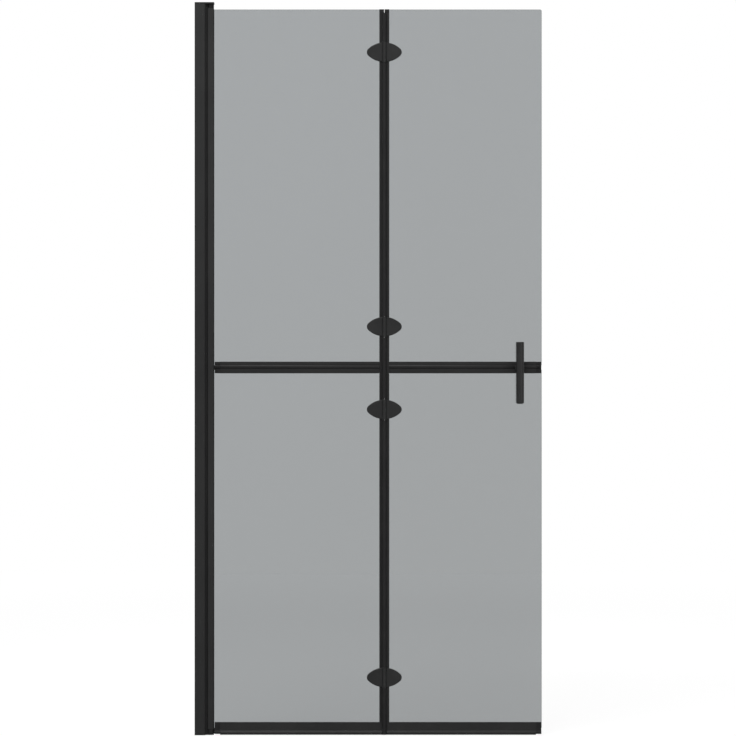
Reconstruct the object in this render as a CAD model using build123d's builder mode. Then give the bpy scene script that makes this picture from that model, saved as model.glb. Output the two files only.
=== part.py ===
# Walk-in shower screen. A wall channel carries an adjusting jamb with two pivot caps. A panel of two
# glass panes turns in the caps, and a second panel of two panes folds on four hinges at its far edge.
# Frame: X runs from the wall to the free edge, Y away from the viewer into the shower, Z up from the
# tray. X = 0 is the wall, Y = 0 the middle of the glass, Z = 0 the tray. All sizes are in mm.
from math import sqrt
import os

from build123d import *

os.makedirs("parts", exist_ok=True)

# Whole screen
overall_height = 1900.0
overall_width = 900.0
glass_t = 4.0
gasket_t = 1.1
gasket_lip = 0.7
slot_half = glass_t / 2 + gasket_t
end_grip_gap = 0.05

# Wall channel and adjusting jamb
lid_t = 4.0
channel_depth = 26.0
channel_half = 15.0
channel_wall = 1.8
channel_web = 2.0
jamb_slide_gap = 0.3
jamb_start = 8.0
jamb_front = 27.7
jamb_wall = 1.6
jamb_web = 3.0
jamb_half = channel_half - channel_wall - jamb_slide_gap
jamb_inner = jamb_half - jamb_wall
rib_w = 2.0
rib_insets = [2.0, 12.0]
channel_bottom = lid_t
channel_top = overall_height - lid_t
wall_hole_r = 3.0
wall_hole_inset = 106.0
wall_hole_span = channel_top - channel_bottom - 2 * wall_hole_inset
wall_holes = [channel_bottom + wall_hole_inset + wall_hole_span * i / 3 for i in range(4)]
jamb_screw_x = jamb_start + 9.0
jamb_screw_inset = 200.0
jamb_screw_heights = [jamb_screw_inset, overall_height / 2, overall_height - jamb_screw_inset]
jamb_screw_r = 2.0
jamb_screw_clear = 0.2
jamb_screw_head_r = 3.6
jamb_screw_head_h = 2.0
jamb_screw_reach = 2.0
cross_depth = 0.9
cross_half = 2.2
cross_slot = 0.5
screw_cap_r = 5.5
screw_cap_h = 3.5
screw_cap_roof_gap = 0.4
screw_cap_round = 0.9
lip_inner = 5.0
lip_outer = 7.0
lip_run_gap = 0.15
lip_length = 4.2

# Pivot at the wall
pivot_x = jamb_front + 13.3
tube_half = 8.6
tube_round = 3.0
tube_swing_r = sqrt(2.0) * (tube_half - tube_round) + tube_round
block_h = 14.0
block_floor = 5.0
bush_flange_r = 8.0
bush_flange_t = 1.0
bush_r = 4.4
pin_r = 3.0
pin_gap = 0.08
plug_t = 2.5
plug_top_gap = 0.1
pin_end_gap = 1.0
tube_hollow_x = pivot_x - 2.7
tube_hollow_r = 3.6
plug_stub = 14.0
tube_slot_x = pivot_x + 2.5
tube_bottom = block_h + bush_flange_t + plug_t
tube_top = overall_height - block_h - bush_flange_t - plug_top_gap - plug_t
tongue_gap = 0.2
tongue_h = 10.0
lid_corner_r = 2.0
lid_end = pivot_x + tube_half + gasket_lip
arm_join = 4.0
lid_arm_half = 7.6
arm_half = lip_inner - 0.2
arm_end = pivot_x - bush_flange_r - 0.3
arm_rise = 0.7

# Glass
gasket_back_gap = 0.4
glass_end_gap = 0.5
glass_top_gap = 0.4
glass_start = tube_slot_x + gasket_back_gap + gasket_t
glass_bottom = tube_bottom + glass_end_gap
glass_top = tube_top - glass_top_gap
glass_corner_r = 4.0

# Fold between the panels
fold_x = 491.6
fold_split = 1.4
fold_profile_w = 11.5
fold_profile_half = 5.0
knuckle_r = 5.3
leaf_step_gap = 0.3
fold_y = -(fold_profile_half + leaf_step_gap + knuckle_r)
fold_web = 2.2
inner_fold_far = fold_x - fold_split / 2
inner_fold_near = inner_fold_far - fold_profile_w
outer_fold_near = fold_x + fold_split / 2
outer_fold_far = outer_fold_near + fold_profile_w
inner_glass_end = inner_fold_far - fold_web - gasket_t
outer_glass_start = outer_fold_near + fold_web + gasket_t
fold_cap_cover = 1.6
fold_top = glass_top - fold_cap_cover
fold_cap_t = 2.0
fold_cap_skirt = 8.0
fold_cap_wall = 0.6
bead_r = 5.3
bead_notch_gap = 0.5
bead_foot_start = inner_fold_near + 1.5
bead_foot_end = inner_fold_far - 1.8
bead_foot_t = 1.1
bead_neck_w = 5.0
bead_end_gap = 0.5
bead_bottom = 1.0

# Rails
rail_start = pivot_x + tube_half + 2.0
end_piece = 14.0
end_proud = 0.4
mid_z = 953.0
mid_half = 14.5
mid_glass_half = 6.0
mid_front = 7.0
mid_edge = 5.6
mid_back = 6.5
mid_groove_z = -2.5
mid_groove_half = 1.3
mid_groove_floor = 3.4
mid_line_z = 7.7
mid_line_half = 0.7
mid_line_floor = 4.6
mid_low_edge = 4.2
core_slot_y = 2.2
core_slot_z = 3.2
core_slip = 0.1
bottom_low = 3.0
bottom_grip = 14.0
bottom_high = glass_bottom + bottom_grip
bottom_half = 6.5
nose_half = 9.5
nose_slant = 1.5
nose_low = bottom_low + nose_slant
nose_high = bottom_low + 4.0
nose_rise = bottom_low + 8.5
seal_slot_half = 3.0
seal_slot_low = bottom_low + 1.5
seal_slot_high = bottom_low + 8.0
seal_mouth_half = 1.8
seal_head_h = 2.0
seal_stem_half = 1.2
seal_lip_half = 0.7
seal_root_half = 2.0
seal_bottom = 0.4
seal_wing_half = 4.6
seal_wing_t = 1.5
cap_tongue = 12.0
cap_tongue_rise = 0.5
glass_end_proud = 1.0
outer_glass_end = overall_width
outer_cap_end = overall_width - glass_end_proud
outer_rail_end = outer_cap_end - end_piece
neck_swing_gap = 0.6
neck_half = 4.0
inner_rail_begin = rail_start + end_piece
gasket_end_gap = 1.1

# Hinges
hinge_top_inset = 111.0
hinge_above_mid = 106.0
hinge_below_mid = 108.8
hinge_bottom_inset = 117.0
upper_hinges = [glass_top - hinge_top_inset, mid_z + hinge_above_mid]
lower_hinges = [mid_z - hinge_below_mid, bottom_high + hinge_bottom_inset]
hinge_heights = upper_hinges + lower_hinges
leaf_length = 90.6
leaf_height = 50.6
leaf_end_r = 12.5
leaf_t = 4.0
leaf_front = -(fold_profile_half + leaf_step_gap + leaf_t)
leaf_rim = 2.0
leaf_split = 0.4
pad_t = 1.0
leaf_back = -(glass_t / 2 + pad_t)
barrel_h = 54.0
pin_head_h = 1.0
pin_head_r = 4.6
centre_knuckle = 25.0
washer_t = 0.5
washer_r = 5.0
hinge_pin_r = 2.5
hinge_run_gap = 0.05
knuckle_swing_gap = 0.4
hinge_screw_x = 26.0
hinge_screw_z = 10.0
hinge_screw_r = 2.5
hinge_head_r = 4.6
hinge_head_t = 2.6
hinge_socket_af = 3.0
hinge_screw_tip = leaf_front + 1.8
hinge_socket_depth = 1.8
pin_head_round = 0.7
plate_round = 1.0
glass_hole_r = 4.5
plate_t = 3.0
pad_edge = 1.0

# Handle
handle_inset = 57.6
handle_x = overall_width - handle_inset
handle_standoff = 21.2
handle_r = 10.3
handle_y = -(mid_front + handle_standoff + handle_r)
handle_length = 160.0
handle_above = 66.0
handle_high = mid_z + handle_above
handle_low = handle_high - handle_length
handle_top_round = 1.5
handle_bottom_round = 5.0
post_r = 12.0
handle_screw_r = 3.0
handle_screw_gap = 0.2
handle_screw_tip = handle_y + 4.0
handle_head_r = 5.5
handle_head_h = 3.0
handle_head_round = 0.8
handle_socket_depth = 2.0
post_seat = 0.6
handle_socket_af = 4.0

# Small screws of the rails
rail_screw_head_r = 3.4
rail_screw_head_t = 1.9
rail_screw_length = 21.3
bracket_screw_x = inner_rail_begin + 8.0
bracket_screw_r = 1.6
bracket_screw_gap = 0.15
bracket_head_r = 3.0
bracket_head_h = 1.8
bracket_tongue = 15.0
bracket_neck_half = 5.0
bracket_neck_z = mid_glass_half - end_grip_gap
bracket_shoulder = pivot_x + tube_half + 0.2
grub_x = tube_slot_x + 2.0
grub_r = 1.5
grub_back = 7.8
grub_tip = -1.5


def block(x0, x1, y0, y1, z0, z1, mode=Mode.ADD):
    """Add or cut a box between two opposite corners."""
    with Locations(((x0 + x1) / 2, (y0 + y1) / 2, (z0 + z1) / 2)):
        Box(abs(x1 - x0), abs(y1 - y0), abs(z1 - z0), mode=mode)


def rod_z(r, x, y, z0, z1, mode=Mode.ADD):
    """Add or cut an upright cylinder."""
    with Locations((x, y, (z0 + z1) / 2)):
        Cylinder(r, abs(z1 - z0), mode=mode)


def rod_y(r, x, z, y0, y1, mode=Mode.ADD):
    """Add or cut a cylinder that runs front to back."""
    with Locations((x, (y0 + y1) / 2, z)):
        Cylinder(r, abs(y1 - y0), rotation=(90, 0, 0), mode=mode)


def rod_x(r, y, z, x0, x1, mode=Mode.ADD):
    """Add or cut a cylinder that runs from side to side."""
    with Locations(((x0 + x1) / 2, y, z)):
        Cylinder(r, abs(x1 - x0), rotation=(0, 90, 0), mode=mode)


def cone_y(r_back, r_front, x, z, y_back, y_front, mode=Mode.ADD):
    """Add or cut a cone, given its radius at the back and at the front."""
    with Locations((x, (y_back + y_front) / 2, z)):
        Cone(r_front, r_back, abs(y_back - y_front), rotation=(-90, 0, 0), mode=mode)


def outline_face(steps):
    """Make a face from a closed list of points, where a point marked mid bends the line to an arc."""
    edges = []
    count = len(steps)
    index = 0
    while index < count:
        start = steps[index][1]
        following = steps[(index + 1) % count]
        if following[0] == "mid":
            finish = steps[(index + 2) % count][1]
            edges.append(Edge.make_three_point_arc(start, following[1], finish))
            index += 2
        else:
            edges.append(Edge.make_line(start, following[1]))
            index += 1
    return Face(Wire(edges))


def prism_x(steps, x0, x1, mode=Mode.ADD):
    """Extrude an outline of (kind, y, z) steps from x0 to x1."""
    face = outline_face([(kind, (x0, y, z)) for kind, y, z in steps])
    extrude(face, amount=x1 - x0, dir=(1, 0, 0), mode=mode)


def prism_z(steps, z0, z1, mode=Mode.ADD):
    """Extrude an outline of (kind, x, y) steps from z0 to z1."""
    face = outline_face([(kind, (x, y, z0)) for kind, x, y in steps])
    extrude(face, amount=z1 - z0, dir=(0, 0, 1), mode=mode)


def prism_y(steps, y0, y1, mode=Mode.ADD):
    """Extrude an outline of (kind, x, z) steps from y0 to y1."""
    face = outline_face([(kind, (x, y0, z)) for kind, x, z in steps])
    extrude(face, amount=y1 - y0, dir=(0, 1, 0), mode=mode)


def save(builder, name):
    """Label the finished piece and write it to its own file."""
    builder.part.label = name
    export_step(builder.part, f"parts/{name}.step")


def tube_bar(low, high):
    """Add the outer shape of the pivot tube: flat in front and behind, round about the pivot at the wall side."""
    block(pivot_x - tube_swing_r - 1, pivot_x + tube_half, -tube_half, tube_half, low, high)
    rod_z(tube_swing_r, pivot_x, 0, low, high, mode=Mode.INTERSECT)


def mid_section(grow):
    """Outline of the mid rail across its length: a strip, a round lobe and a sloping face, with grooves."""
    back = mid_back + grow
    edge = mid_edge + grow
    front = mid_front + grow
    half = mid_half + grow
    line_floor = mid_line_floor + grow
    line_top = mid_line_z + mid_line_half
    line_low = mid_line_z - mid_line_half
    floor = mid_groove_floor + grow
    groove_top = mid_groove_z + mid_groove_half
    groove_low = mid_groove_z - mid_groove_half
    return [
        ("line", back, mid_z - half),
        ("line", back, mid_z + half),
        ("line", -edge, mid_z + half),
        ("line", -edge, mid_z + line_top),
        ("line", -line_floor, mid_z + line_top),
        ("line", -line_floor, mid_z + line_low),
        ("line", -edge, mid_z + line_low),
        ("mid", -front, mid_z + (line_low + groove_top) / 2),
        ("line", -edge, mid_z + groove_top),
        ("line", -floor, mid_z + groove_top),
        ("line", -floor, mid_z + groove_low),
        ("line", -front, mid_z + groove_low),
        ("line", -mid_low_edge - grow, mid_z - half),
    ]


def bottom_section(grow):
    """Outline of the bottom rail across its length: straight sides with a drip nose front and back."""
    half = bottom_half + grow
    nose = nose_half + grow
    low = bottom_low - grow
    return [
        ("line", -half, bottom_high + grow),
        ("line", -half, nose_rise + grow),
        ("line", -nose, nose_high + grow),
        ("line", -nose, nose_low),
        ("line", -nose + nose_slant, low),
        ("line", nose - nose_slant, low),
        ("line", nose, nose_low),
        ("line", nose, nose_high + grow),
        ("line", half, nose_rise + grow),
        ("line", half, bottom_high + grow),
    ]


def bead_notch(low, high):
    """Cut the round space in which the fold bead stands."""
    rod_z(bead_r + bead_notch_gap, fold_x, fold_y, low, high, mode=Mode.SUBTRACT)


def lens(centre_z, inset):
    """Outline of a hinge leaf pair: two wide arcs joined by small round ends."""
    a = leaf_length / 2 - inset
    b = leaf_height / 2 - inset
    r = leaf_end_r - inset
    c = a - r
    k = (c * c - (b - r) ** 2) / (2 * (b - r))
    big = k + b
    tx = big * c / sqrt(c * c + k * k)
    tz = big * k / sqrt(c * c + k * k) - k
    return [
        ("line", fold_x - tx, centre_z + tz),
        ("mid", fold_x, centre_z + b),
        ("line", fold_x + tx, centre_z + tz),
        ("mid", fold_x + a, centre_z),
        ("line", fold_x + tx, centre_z - tz),
        ("mid", fold_x, centre_z - b),
        ("line", fold_x - tx, centre_z - tz),
        ("mid", fold_x - a, centre_z),
    ]


# Wall channel: an upright U screwed to the wall
with BuildPart() as wall_channel:
    block(0, channel_depth, -channel_half, channel_half, channel_bottom, channel_top)
    inner = channel_half - channel_wall
    block(channel_web, channel_depth, -inner, inner, channel_bottom, channel_top, mode=Mode.SUBTRACT)
    for z in wall_holes:
        rod_x(wall_hole_r, 0, z, -1, channel_web + 1, mode=Mode.SUBTRACT)
    for z in jamb_screw_heights:
        clear_r = jamb_screw_r + jamb_screw_clear
        rod_y(clear_r, jamb_screw_x, z, inner - 1, channel_half + 1, mode=Mode.SUBTRACT)
save(wall_channel, "wall_channel")

# Adjusting jamb: slides in the channel, with its nose towards the pivot tube
with BuildPart() as adjusting_jamb:
    block(jamb_start, jamb_front, -jamb_half, jamb_half, channel_bottom, channel_top)
    web_x = jamb_front - jamb_web
    block(jamb_start, web_x, -jamb_inner, jamb_inner, channel_bottom, channel_top, mode=Mode.SUBTRACT)
    for rib_inset in rib_insets:
        x0 = jamb_start + rib_inset
        for side in (-1, 1):
            y0 = side * jamb_half
            y1 = side * (jamb_half + jamb_slide_gap)
            block(x0, x0 + rib_w, min(y0, y1), max(y0, y1), channel_bottom, channel_top)
    for z in jamb_screw_heights:
        rod_y(jamb_screw_r, jamb_screw_x, z, jamb_inner - 1, jamb_half + 1, mode=Mode.SUBTRACT)
save(adjusting_jamb, "adjusting_jamb")

# Lip seals: two soft strips on the nose of the jamb that close on the pivot tube
with BuildPart() as jamb_lip_seals:
    for side in (-1, 1):
        y0 = min(side * lip_inner, side * lip_outer)
        y1 = y0 + lip_outer - lip_inner
        block(jamb_front, jamb_front + lip_length, y0, y1, channel_bottom, channel_top)
    rod_z(tube_swing_r + lip_run_gap, pivot_x, 0, channel_bottom, channel_top, mode=Mode.SUBTRACT)
save(jamb_lip_seals, "jamb_lip_seals")

# Screws that hold the jamb at its set width, driven from the shower side
with BuildPart() as jamb_screws:
    for z in jamb_screw_heights:
        rod_y(jamb_screw_r, jamb_screw_x, z, jamb_inner - jamb_screw_reach, channel_half)
        rod_y(jamb_screw_head_r, jamb_screw_x, z, channel_half, channel_half + jamb_screw_head_h)
        slot_low = channel_half + jamb_screw_head_h - cross_depth
        slot_high = channel_half + jamb_screw_head_h + 1
        for half_x, half_z in ((cross_half, cross_slot), (cross_slot, cross_half)):
            block(jamb_screw_x - half_x, jamb_screw_x + half_x, slot_low, slot_high, z - half_z, z + half_z,
                  mode=Mode.SUBTRACT)
save(jamb_screws, "jamb_screws")

# Push-on covers over those screws
with BuildPart() as jamb_screw_caps:
    for z in jamb_screw_heights:
        rod_y(screw_cap_r, jamb_screw_x, z, channel_half, channel_half + screw_cap_h)
    outer_y = channel_half + screw_cap_h
    rims = jamb_screw_caps.edges().filter_by_position(Axis.Y, outer_y - 0.01, outer_y + 0.01)
    fillet(rims, screw_cap_round)
    for z in jamb_screw_heights:
        roof = channel_half + jamb_screw_head_h + screw_cap_roof_gap
        rod_y(jamb_screw_head_r, jamb_screw_x, z, channel_half, roof, mode=Mode.SUBTRACT)
save(jamb_screw_caps, "jamb_screw_caps")

# Top and bottom pivot caps: a lid over the channel and a round block that holds the pivot. The upper lid
# covers the tube as well; the lower one narrows to an arm, so that the bottom rail swings past it.
for cap_name, lid_z, into, lid_reach in (("bottom_pivot_cap", 0.0, 1.0, jamb_front),
                                         ("top_pivot_cap", overall_height, -1.0, lid_end)):
    with BuildPart() as pivot_cap:
        lid_face = lid_z + into * lid_t
        low, high = sorted((lid_z, lid_face))
        block(0, lid_reach, -channel_half, channel_half, low, high)
        corners = pivot_cap.edges().filter_by(Axis.Z)
        fillet(corners.filter_by_position(Axis.X, lid_reach - 0.01, lid_reach + 0.01), lid_corner_r)
        block(jamb_front - arm_join, pivot_x, -lid_arm_half, lid_arm_half, low, high)
        low, high = sorted((lid_z, lid_z + into * (block_h + arm_rise)))
        block(jamb_front + end_grip_gap, arm_end, -arm_half, arm_half, low, high)
        low, high = sorted((lid_z, lid_z + into * block_h))
        block(arm_end, pivot_x, -arm_half, arm_half, low, high)
        rod_z(tube_half, pivot_x, 0, low, high)
        low, high = sorted((lid_face, lid_face + into * tongue_h))
        tongue_half = jamb_inner - tongue_gap
        tongue_end = jamb_front - jamb_web - tongue_gap
        block(jamb_start + tongue_gap, tongue_end, -tongue_half, tongue_half, low, high)
        low, high = sorted((lid_z + into * block_floor, lid_z + into * (block_h + 1)))
        rod_z(bush_r, pivot_x, 0, low, high, mode=Mode.SUBTRACT)
    save(pivot_cap, cap_name)

# Flanged bushes pressed into both pivot blocks
with BuildPart() as pivot_bushes:
    for lid_z, into in ((0.0, 1.0), (overall_height, -1.0)):
        low, high = sorted((lid_z + into * block_floor, lid_z + into * block_h))
        rod_z(bush_r, pivot_x, 0, low, high)
        low, high = sorted((lid_z + into * block_h, lid_z + into * (block_h + bush_flange_t)))
        rod_z(bush_flange_r, pivot_x, 0, low, high)
        low, high = sorted((lid_z + into * block_floor, lid_z + into * (block_h + bush_flange_t)))
        rod_z(pin_r + pin_gap, pivot_x, 0, low, high, mode=Mode.SUBTRACT)
save(pivot_bushes, "pivot_bushes")

# Pivot tube: grips the wall edge of both inner panes
with BuildPart() as pivot_tube:
    tube_bar(tube_bottom, tube_top)
    slot_x = pivot_x + tube_half + 1
    block(tube_slot_x, slot_x, -slot_half, slot_half, tube_bottom, tube_top, mode=Mode.SUBTRACT)
    rod_z(tube_hollow_r, tube_hollow_x, 0, tube_bottom, tube_top, mode=Mode.SUBTRACT)
    rod_y(grub_r, grub_x, mid_z, 0, tube_half + 1, mode=Mode.SUBTRACT)
save(pivot_tube, "pivot_tube")

# Plugs in the tube ends, each with the pin it turns on
plug_ends = ((tube_bottom, -1.0, 0.0), (tube_top, 1.0, overall_height))
with BuildPart() as pivot_plugs:
    tube_bar(tube_bottom - plug_t, tube_top + plug_t)
    block(0, rail_start, -channel_half, channel_half, tube_bottom, tube_top, mode=Mode.SUBTRACT)
    for end_z, out, lid_z in plug_ends:
        disc_z = end_z + out * plug_t
        low, high = sorted((end_z, end_z - out * plug_stub))
        rod_z(tube_hollow_r, tube_hollow_x, 0, low, high)
        pin_end = lid_z - out * (block_floor + pin_end_gap)
        low, high = sorted((disc_z, pin_end))
        rod_z(pin_r, pivot_x, 0, low, high)
save(pivot_plugs, "pivot_plugs")

# Panes: name, low and high edge, both side edges, screw hole column, hinge heights, rounded free corner
pane_split_low = mid_z - mid_glass_half
pane_split_high = mid_z + mid_glass_half
panes = [
    ("inner_upper_glass", pane_split_high, glass_top, glass_start, inner_glass_end, -1, upper_hinges),
    ("inner_lower_glass", glass_bottom, pane_split_low, glass_start, inner_glass_end, -1, lower_hinges),
    ("outer_upper_glass", pane_split_high, glass_top, outer_glass_start, outer_glass_end, 1, upper_hinges),
    ("outer_lower_glass", glass_bottom, pane_split_low, outer_glass_start, outer_glass_end, 1, lower_hinges),
]
for pane_name, low, high, near, far, side, heights in panes:
    with BuildPart() as pane:
        block(near, far, -glass_t / 2, glass_t / 2, low, high)
        if pane_name == "outer_upper_glass":
            upright = pane.edges().filter_by(Axis.Y)
            upright = upright.filter_by_position(Axis.X, far - 0.01, far + 0.01)
            fillet(upright.filter_by_position(Axis.Z, high - 0.01, high + 0.01), glass_corner_r)
        for z in heights:
            for dz in (-hinge_screw_z, hinge_screw_z):
                hole_x = fold_x + side * hinge_screw_x
                rod_y(glass_hole_r, hole_x, z + dz, -glass_t, glass_t, mode=Mode.SUBTRACT)
    save(pane, pane_name)

# Gaskets between the tube and the inner panes
with BuildPart() as tube_gaskets:
    for low, high in ((glass_bottom, mid_z - mid_glass_half), (mid_z + mid_glass_half, glass_top)):
        lip_x = pivot_x + tube_half + gasket_lip
        block(glass_start - gasket_t, lip_x, -slot_half, slot_half, low, high)
        block(glass_start, lip_x, -glass_t / 2, glass_t / 2, low, high, mode=Mode.SUBTRACT)
save(tube_gaskets, "tube_gaskets")

# Mid rails: an H that joins an upper and a lower pane, with a tongue in the fold profile
mid_rails = [
    ("inner_mid_rail", inner_rail_begin, inner_fold_near, inner_fold_near, inner_fold_far - fold_web),
    ("outer_mid_rail", outer_fold_far, outer_rail_end, outer_fold_near + fold_web, outer_fold_far),
]
core_half_z = mid_glass_half - gasket_t
for rail_name, near, far, tongue_near, tongue_far in mid_rails:
    with BuildPart() as mid_rail:
        prism_x(mid_section(0.0), near, far)
        slot_top = mid_z + mid_half + 1
        slot_low = mid_z - mid_half - 1
        core_top = mid_z + core_half_z
        core_low = mid_z - core_half_z
        block(near, far, -slot_half, slot_half, core_top, slot_top, mode=Mode.SUBTRACT)
        block(near, far, -slot_half, slot_half, slot_low, core_low, mode=Mode.SUBTRACT)
        block(tongue_near, tongue_far, -slot_half, slot_half, core_low, core_top)
        ends = (min(near, tongue_near), max(far, tongue_far))
        block(ends[0], ends[1], -core_slot_y, core_slot_y, mid_z - core_slot_z, mid_z + core_slot_z,
              mode=Mode.SUBTRACT)
        if rail_name == "inner_mid_rail":
            rod_y(bracket_screw_r + bracket_screw_gap, bracket_screw_x, mid_z, 0, mid_back + 1,
                  mode=Mode.SUBTRACT)
        else:
            rod_y(handle_screw_r + handle_screw_gap, handle_x, mid_z, -mid_front - 1, mid_back + 1,
                  mode=Mode.SUBTRACT)
    save(mid_rail, rail_name)

# Mid rail bracket: the moulded end piece that ties the rail to the tube
with BuildPart() as mid_rail_bracket:
    prism_x(mid_section(end_proud), rail_start, inner_rail_begin)
    grip = glass_t / 2 + end_grip_gap
    block(rail_start, inner_rail_begin, -grip, grip, mid_z + mid_glass_half, mid_z + mid_half + 2,
          mode=Mode.SUBTRACT)
    block(rail_start, inner_rail_begin, -grip, grip, mid_z - mid_half - 2, mid_z - mid_glass_half,
          mode=Mode.SUBTRACT)
    neck_low = mid_z - bracket_neck_z
    neck_high = mid_z + bracket_neck_z
    block(tube_slot_x, rail_start, -slot_half, slot_half, neck_low, neck_high)
    block(bracket_shoulder, rail_start, -bracket_neck_half, bracket_neck_half, neck_low, neck_high)
    tongue_y = core_slot_y - core_slip
    tongue_z = core_slot_z - core_slip
    block(inner_rail_begin, inner_rail_begin + bracket_tongue, -tongue_y, tongue_y, mid_z - tongue_z,
          mid_z + tongue_z)
    rod_y(bracket_screw_r, bracket_screw_x, mid_z, -tongue_y - 1, tongue_y + 1, mode=Mode.SUBTRACT)
    rod_y(grub_r, grub_x, mid_z, grub_tip, slot_half + 1, mode=Mode.SUBTRACT)
save(mid_rail_bracket, "mid_rail_bracket")

# Bottom rails with a slot for the glass above and one for the seal below
bottom_rails = [
    ("inner_bottom_rail", inner_rail_begin, inner_fold_far),
    ("outer_bottom_rail", outer_fold_near, outer_rail_end),
]
for rail_name, near, far in bottom_rails:
    with BuildPart() as bottom_rail:
        prism_x(bottom_section(0.0), near, far)
        floor_z = glass_bottom - gasket_t
        block(near, far, -slot_half, slot_half, floor_z, bottom_high + 1, mode=Mode.SUBTRACT)
        block(near, far, -seal_slot_half, seal_slot_half, seal_slot_low, seal_slot_high,
              mode=Mode.SUBTRACT)
        block(near, far, -seal_mouth_half, seal_mouth_half, bottom_low - 1, seal_slot_low,
              mode=Mode.SUBTRACT)
        bead_notch(bottom_low - 1, bottom_high + 1)
    save(bottom_rail, rail_name)

# End pieces of the bottom rails and of the outer mid rail
end_pieces = [
    ("inner_bottom_cap", rail_start, inner_rail_begin, 1.0),
    ("outer_bottom_cap", outer_rail_end, outer_cap_end, -1.0),
]
for cap_name, near, far, rail_side in end_pieces:
    with BuildPart() as end_cap:
        prism_x(bottom_section(end_proud), near, far)
        grip = glass_t / 2 + end_grip_gap
        block(near, far, -grip, grip, glass_bottom, bottom_high + 2, mode=Mode.SUBTRACT)
        if rail_side > 0:
            block(pivot_x, near, -neck_half, neck_half, bottom_low, glass_bottom - end_grip_gap)
            rod_z(tube_half + neck_swing_gap, pivot_x, 0, 0, glass_bottom, mode=Mode.SUBTRACT)
            plug_face = pivot_x + tube_half + end_grip_gap
            block(pivot_x, plug_face, -neck_half, neck_half, block_h + bush_flange_t, glass_bottom,
                  mode=Mode.SUBTRACT)
        root_x = far if rail_side > 0 else near
        tongue_low = seal_slot_low + seal_head_h + cap_tongue_rise
        tongue_half = seal_slot_half - tongue_gap
        x0, x1 = sorted((root_x, root_x + rail_side * cap_tongue))
        block(x0, x1, -tongue_half, tongue_half, tongue_low, seal_slot_high - tongue_gap)
    save(end_cap, cap_name)

with BuildPart() as outer_mid_cap:
    prism_x(mid_section(end_proud), outer_rail_end, outer_cap_end)
    grip = glass_t / 2 + end_grip_gap
    block(outer_rail_end, outer_cap_end, -grip, grip, mid_z + mid_glass_half, mid_z + mid_half + 2,
          mode=Mode.SUBTRACT)
    block(outer_rail_end, outer_cap_end, -grip, grip, mid_z - mid_half - 2, mid_z - mid_glass_half,
          mode=Mode.SUBTRACT)
    tongue_y = core_slot_y - core_slip
    tongue_z = core_slot_z - core_slip
    root_x = outer_rail_end - cap_tongue
    block(root_x, outer_rail_end, -tongue_y, tongue_y, mid_z - tongue_z, mid_z + tongue_z)
save(outer_mid_cap, "outer_mid_cap")

# Gaskets between the rails and the panes
rail_gaskets = [
    ("inner_rail_gaskets", inner_rail_begin, inner_fold_near - gasket_end_gap),
    ("outer_rail_gaskets", outer_fold_far + gasket_end_gap, outer_rail_end),
]
for gasket_name, near, far in rail_gaskets:
    with BuildPart() as rail_gasket:
        half_glass = glass_t / 2
        spans = [
            (glass_bottom - gasket_t, glass_bottom, bottom_high + gasket_lip),
            (mid_z + mid_glass_half - gasket_t, mid_z + mid_glass_half, mid_z + mid_half + gasket_lip),
            (mid_z - mid_glass_half + gasket_t, mid_z - mid_glass_half, mid_z - mid_half - gasket_lip),
        ]
        for root, edge, lip in spans:
            block(near, far, -slot_half, slot_half, min(root, lip), max(root, lip))
            block(near, far, -half_glass, half_glass, min(edge, lip), max(edge, lip), mode=Mode.SUBTRACT)
    save(rail_gasket, gasket_name)

# Bottom seals: a soft wing and lip that close on the tray
bottom_seals = [
    ("inner_bottom_seal", inner_rail_begin, inner_fold_far),
    ("outer_bottom_seal", outer_fold_near, outer_rail_end),
]
for seal_name, near, far in bottom_seals:
    with BuildPart() as bottom_seal:
        block(near, far, -seal_slot_half, seal_slot_half, seal_slot_low, seal_slot_low + seal_head_h)
        block(near, far, -seal_stem_half, seal_stem_half, bottom_low - seal_wing_t, seal_slot_low)
        block(near, far, -seal_wing_half, seal_wing_half, bottom_low - seal_wing_t, bottom_low)
        wing = bottom_low - seal_wing_t
        lip = [("line", -seal_root_half, wing), ("line", -seal_lip_half, seal_bottom),
               ("line", seal_lip_half, seal_bottom), ("line", seal_root_half, wing)]
        prism_x(lip, near, far)
    save(bottom_seal, seal_name)

# Fold profiles: the upright bars that grip the panes on both sides of the fold
fold_profiles = [
    ("inner_fold_profile", inner_fold_near, inner_fold_far, -1.0),
    ("outer_fold_profile", outer_fold_near, outer_fold_far, 1.0),
]
for profile_name, near, far, side in fold_profiles:
    with BuildPart() as fold_profile:
        block(near, far, -fold_profile_half, fold_profile_half, bottom_high, fold_top)
        split_x = fold_x + side * fold_split / 2
        floor_x = split_x + side * fold_web
        open_x = split_x + side * (fold_profile_w + 1)
        x0, x1 = sorted((floor_x, open_x))
        block(x0, x1, -slot_half, slot_half, bottom_high, fold_top, mode=Mode.SUBTRACT)
        rod_x(core_slot_y, 0, mid_z, split_x - 3, split_x + 3, mode=Mode.SUBTRACT)
        with Locations((split_x + side * rail_screw_head_t / 2, 0, mid_z)):
            Cone(rail_screw_head_r, core_slot_y, rail_screw_head_t, rotation=(0, 90 * side, 0),
                 mode=Mode.SUBTRACT)
    save(fold_profile, profile_name)

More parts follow.
